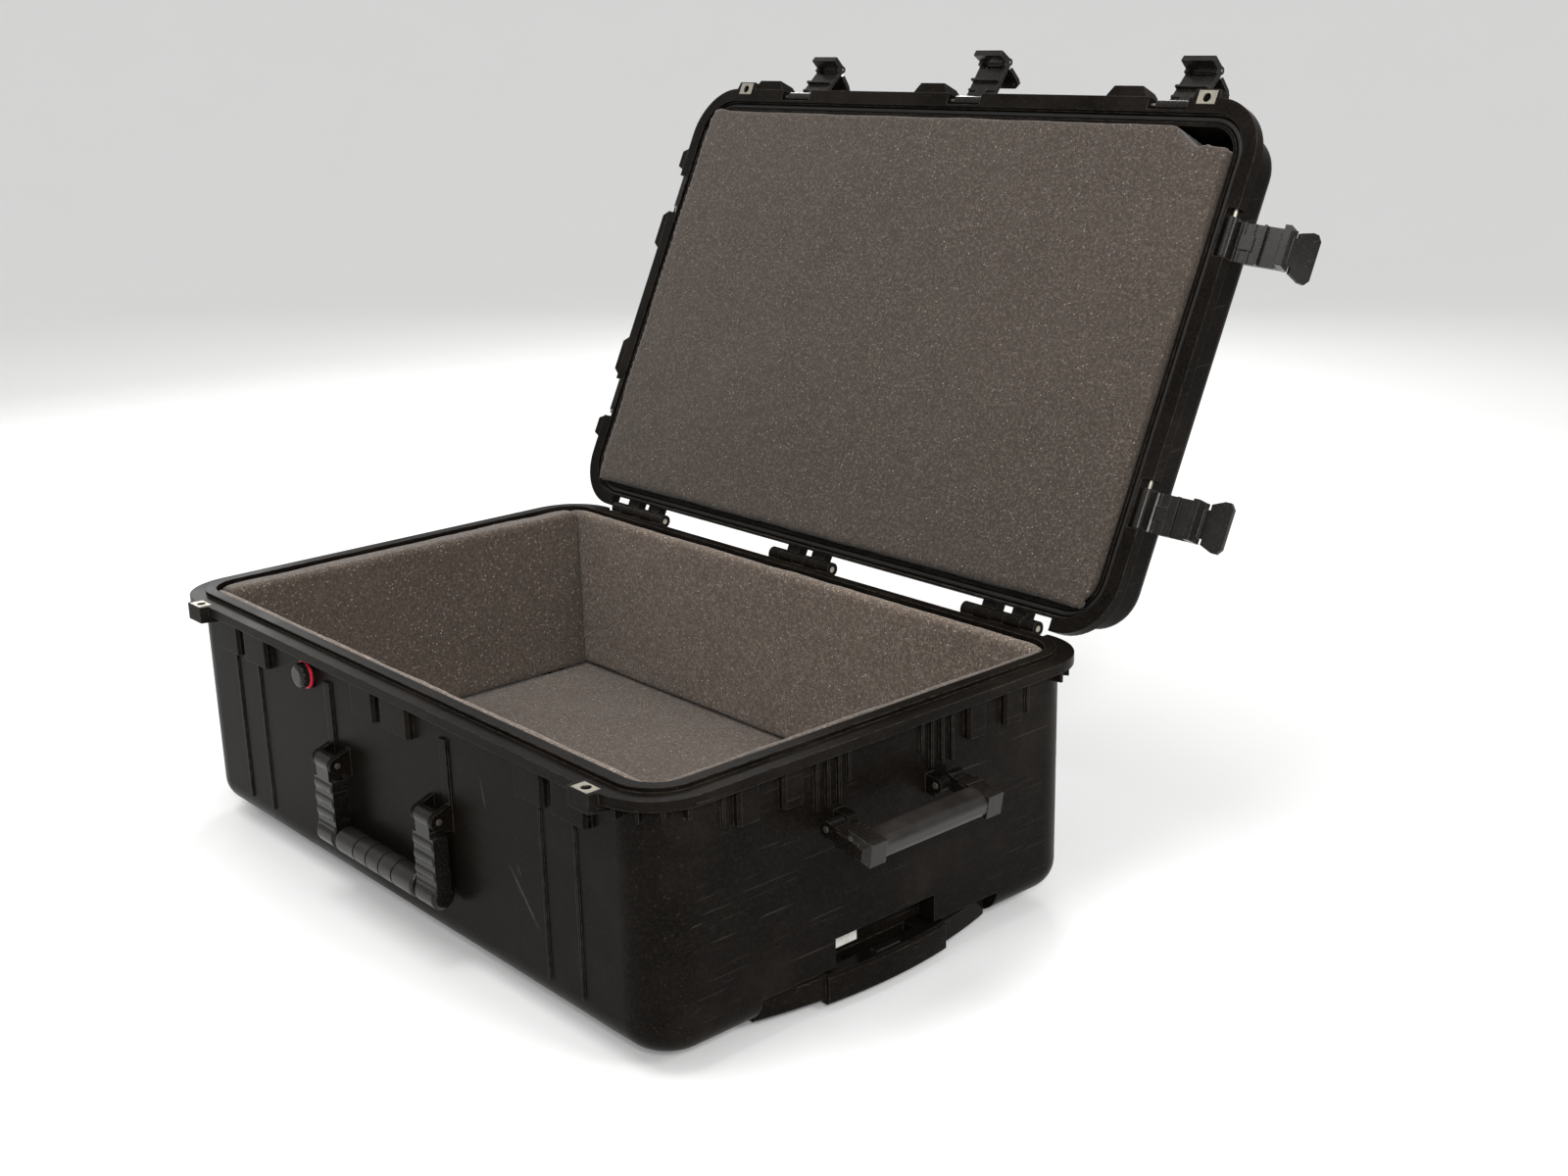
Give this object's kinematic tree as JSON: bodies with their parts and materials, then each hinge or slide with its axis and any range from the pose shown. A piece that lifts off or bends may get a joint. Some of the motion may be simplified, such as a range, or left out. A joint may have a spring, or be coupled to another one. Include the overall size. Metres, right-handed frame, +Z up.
{
  "type": "wheeled hard case",
  "caption": "Large black hard equipment case with its hinged lid open, foam lining, toggle latches, fold-out handles, a sliding pull handle and wheels.",
  "frame": {"origin": "centre of the case's footprint, on the underside of the middle skid", "axes": "+X along the case to the end with the pull handle, +Y from the front to the lid's hinges, +Z up"},
  "size_m": [0.8969, 0.789, 0.7353],
  "materials": {
    "case_plastic": "satin",
    "latch_plastic": "satin",
    "grip_rubber": "satin",
    "foam": "matte",
    "gasket_rubber": "matte",
    "steel": "satin",
    "aluminium": "satin",
    "red_rubber": "satin",
    "white_label": "satin",
    "tyre_rubber": "matte"
  },
  "bodies": {
    "base": {"base_shell": "case_plastic", "hinge_pins": "steel", "base_padlock_plates": "steel", "handle_pins": "steel", "floor_foam": "foam", "front_wall_foam": "foam", "back_wall_foam": "foam", "left_wall_foam": "foam", "right_wall_foam": "foam", "valve_body": "case_plastic", "valve_seal": "red_rubber", "valve_nut": "case_plastic", "pull_handle_outer_tubes": "steel", "pull_handle_cover": "case_plastic", "cover_screws": "steel", "name_plate": "white_label", "wheel_axles": "steel"},
    "lid": {"lid_shell": "case_plastic", "lid_gasket": "gasket_rubber", "lid_foam": "foam", "latch_hinge_pins": "steel", "lid_padlock_plates": "steel"},
    "front_handle": {"front_handle": "latch_plastic", "front_handle_grip": "grip_rubber"},
    "right_handle": {"right_handle": "latch_plastic", "right_handle_grip": "grip_rubber"},
    "left_handle": {"left_handle": "latch_plastic", "left_handle_grip": "grip_rubber"},
    "pull_handle": {"pull_handle_grip": "case_plastic", "pull_handle_inner_tubes": "aluminium", "button_spring": "steel"},
    "release_button": {"release_button": "latch_plastic"},
    "front_wheel": {"front_wheel_tyre": "tyre_rubber", "front_wheel_hub": "case_plastic"},
    "rear_wheel": {"rear_wheel_tyre": "tyre_rubber", "rear_wheel_hub": "case_plastic"},
    "valve_knob": {"valve_knob": "latch_plastic"},
    "front_left_latch": {"front_left_latch_body": "latch_plastic", "front_left_latch_lever_pin": "steel"},
    "front_left_lever": {"front_left_latch_lever": "latch_plastic"},
    "front_centre_latch": {"front_centre_latch_body": "latch_plastic", "front_centre_latch_lever_pin": "steel"},
    "front_centre_lever": {"front_centre_latch_lever": "latch_plastic"},
    "front_right_latch": {"front_right_latch_body": "latch_plastic", "front_right_latch_lever_pin": "steel"},
    "front_right_lever": {"front_right_latch_lever": "latch_plastic"},
    "right_front_latch": {"right_front_latch_body": "latch_plastic", "right_front_latch_lever_pin": "steel"},
    "right_front_lever": {"right_front_latch_lever": "latch_plastic"},
    "right_rear_latch": {"right_rear_latch_body": "latch_plastic", "right_rear_latch_lever_pin": "steel"},
    "right_rear_lever": {"right_rear_latch_lever": "latch_plastic"},
    "left_front_latch": {"left_front_latch_body": "latch_plastic", "left_front_latch_lever_pin": "steel"},
    "left_front_lever": {"left_front_latch_lever": "latch_plastic"},
    "left_rear_latch": {"left_rear_latch_body": "latch_plastic", "left_rear_latch_lever_pin": "steel"},
    "left_rear_lever": {"left_rear_latch_lever": "latch_plastic"}
  },
  "joints": [
    {"name": "lid_hinge", "type": "hinge", "parent": "base", "child": "lid", "pos_m": [0, 0.253, 0.238], "axis": [-1, 0, 0], "range_deg": [-115.5, 0]},
    {"name": "front_left_latch_hinge", "type": "hinge", "parent": "lid", "child": "front_left_latch", "pos_m": [-0.229, 0.47234, 0.68624], "axis": [-1, 0, 0], "range_deg": [-112, 18]},
    {"name": "front_left_lever_hinge", "type": "hinge", "parent": "front_left_latch", "child": "front_left_lever", "pos_m": [-0.229, 0.51851, 0.7143], "axis": [-1, 0, 0], "range_deg": [-120, 10]},
    {"name": "front_centre_latch_hinge", "type": "hinge", "parent": "lid", "child": "front_centre_latch", "pos_m": [0.027, 0.47234, 0.68624], "axis": [-1, 0, 0], "range_deg": [-100, 30]},
    {"name": "front_centre_lever_hinge", "type": "hinge", "parent": "front_centre_latch", "child": "front_centre_lever", "pos_m": [0.027, 0.51166, 0.72329], "axis": [-1, 0, 0], "range_deg": [-120, 10]},
    {"name": "front_right_latch_hinge", "type": "hinge", "parent": "lid", "child": "front_right_latch", "pos_m": [0.283, 0.47234, 0.68624], "axis": [-1, 0, 0], "range_deg": [-110, 20]},
    {"name": "front_right_lever_hinge", "type": "hinge", "parent": "front_right_latch", "child": "front_right_lever", "pos_m": [0.283, 0.5175, 0.7159], "axis": [-1, 0, 0], "range_deg": [-120, 10]},
    {"name": "right_front_latch_hinge", "type": "hinge", "parent": "lid", "child": "right_front_latch", "pos_m": [0.385, 0.42046, 0.57748], "axis": [0, 0.4305, 0.9026], "range_deg": [-104, 26]},
    {"name": "right_front_lever_hinge", "type": "hinge", "parent": "right_front_latch", "child": "right_front_lever", "pos_m": [0.43389, 0.44123, 0.56757], "axis": [0, 0.4305, 0.9026], "range_deg": [-50, 80]},
    {"name": "right_rear_latch_hinge", "type": "hinge", "parent": "lid", "child": "right_rear_latch", "pos_m": [0.385, 0.3124, 0.35093], "axis": [0, 0.4305, 0.9026], "range_deg": [-94, 36]},
    {"name": "right_rear_lever_hinge", "type": "hinge", "parent": "right_rear_latch", "child": "right_rear_lever", "pos_m": [0.43714, 0.32519, 0.34483], "axis": [0, 0.4305, 0.9026], "range_deg": [0, 130]},
    {"name": "left_front_latch_hinge", "type": "hinge", "parent": "lid", "child": "left_front_latch", "pos_m": [-0.385, 0.42046, 0.57748], "axis": [0, -0.4305, -0.9026], "range_deg": [-130, 0]},
    {"name": "left_front_lever_hinge", "type": "hinge", "parent": "left_front_latch", "child": "left_front_lever", "pos_m": [-0.41885, 0.45847, 0.55935], "axis": [0, -0.4305, -0.9026], "range_deg": [-120, 10]},
    {"name": "left_rear_latch_hinge", "type": "hinge", "parent": "lid", "child": "left_rear_latch", "pos_m": [-0.385, 0.3124, 0.35093], "axis": [0, -0.4305, -0.9026], "range_deg": [-130, 0]},
    {"name": "left_rear_lever_hinge", "type": "hinge", "parent": "left_rear_latch", "child": "left_rear_lever", "pos_m": [-0.41885, 0.35041, 0.3328], "axis": [0, -0.4305, -0.9026], "range_deg": [-120, 10]},
    {"name": "front_handle_hinge", "type": "hinge", "parent": "base", "child": "front_handle", "pos_m": [0, -0.2515, 0.138], "axis": [-1, 0, 0], "range_deg": [0, 100]},
    {"name": "right_handle_hinge", "type": "hinge", "parent": "base", "child": "right_handle", "pos_m": [0.3885, 0, 0.168], "axis": [0, -1, 0], "range_deg": [-80, 20]},
    {"name": "left_handle_hinge", "type": "hinge", "parent": "base", "child": "left_handle", "pos_m": [-0.3885, 0, 0.168], "axis": [0, 1, 0], "range_deg": [0, 100]},
    {"name": "pull_handle_slide", "type": "slide", "parent": "base", "child": "pull_handle", "axis": [1, 0, 0], "range_m": [0, 0.36]},
    {"name": "release_button_slide", "type": "slide", "parent": "pull_handle", "child": "release_button", "axis": [0, 0, -1], "range_m": [0, 0.0016], "stiffness_N_per_m": 300, "springref_m": -0.002, "deforming": ["button_spring"]},
    {"name": "front_wheel_spin", "type": "hinge", "parent": "base", "child": "front_wheel", "pos_m": [-0.3545, -0.17, 0.024], "axis": [0, 1, 0], "continuous": true},
    {"name": "rear_wheel_spin", "type": "hinge", "parent": "base", "child": "rear_wheel", "pos_m": [-0.3545, 0.17, 0.024], "axis": [0, 1, 0], "continuous": true},
    {"name": "valve_knob_turn", "type": "hinge", "parent": "base", "child": "valve_knob", "pos_m": [-0.134, -0.245, 0.207], "axis": [0, -1, 0], "range_deg": [0, 90]}
  ]
}
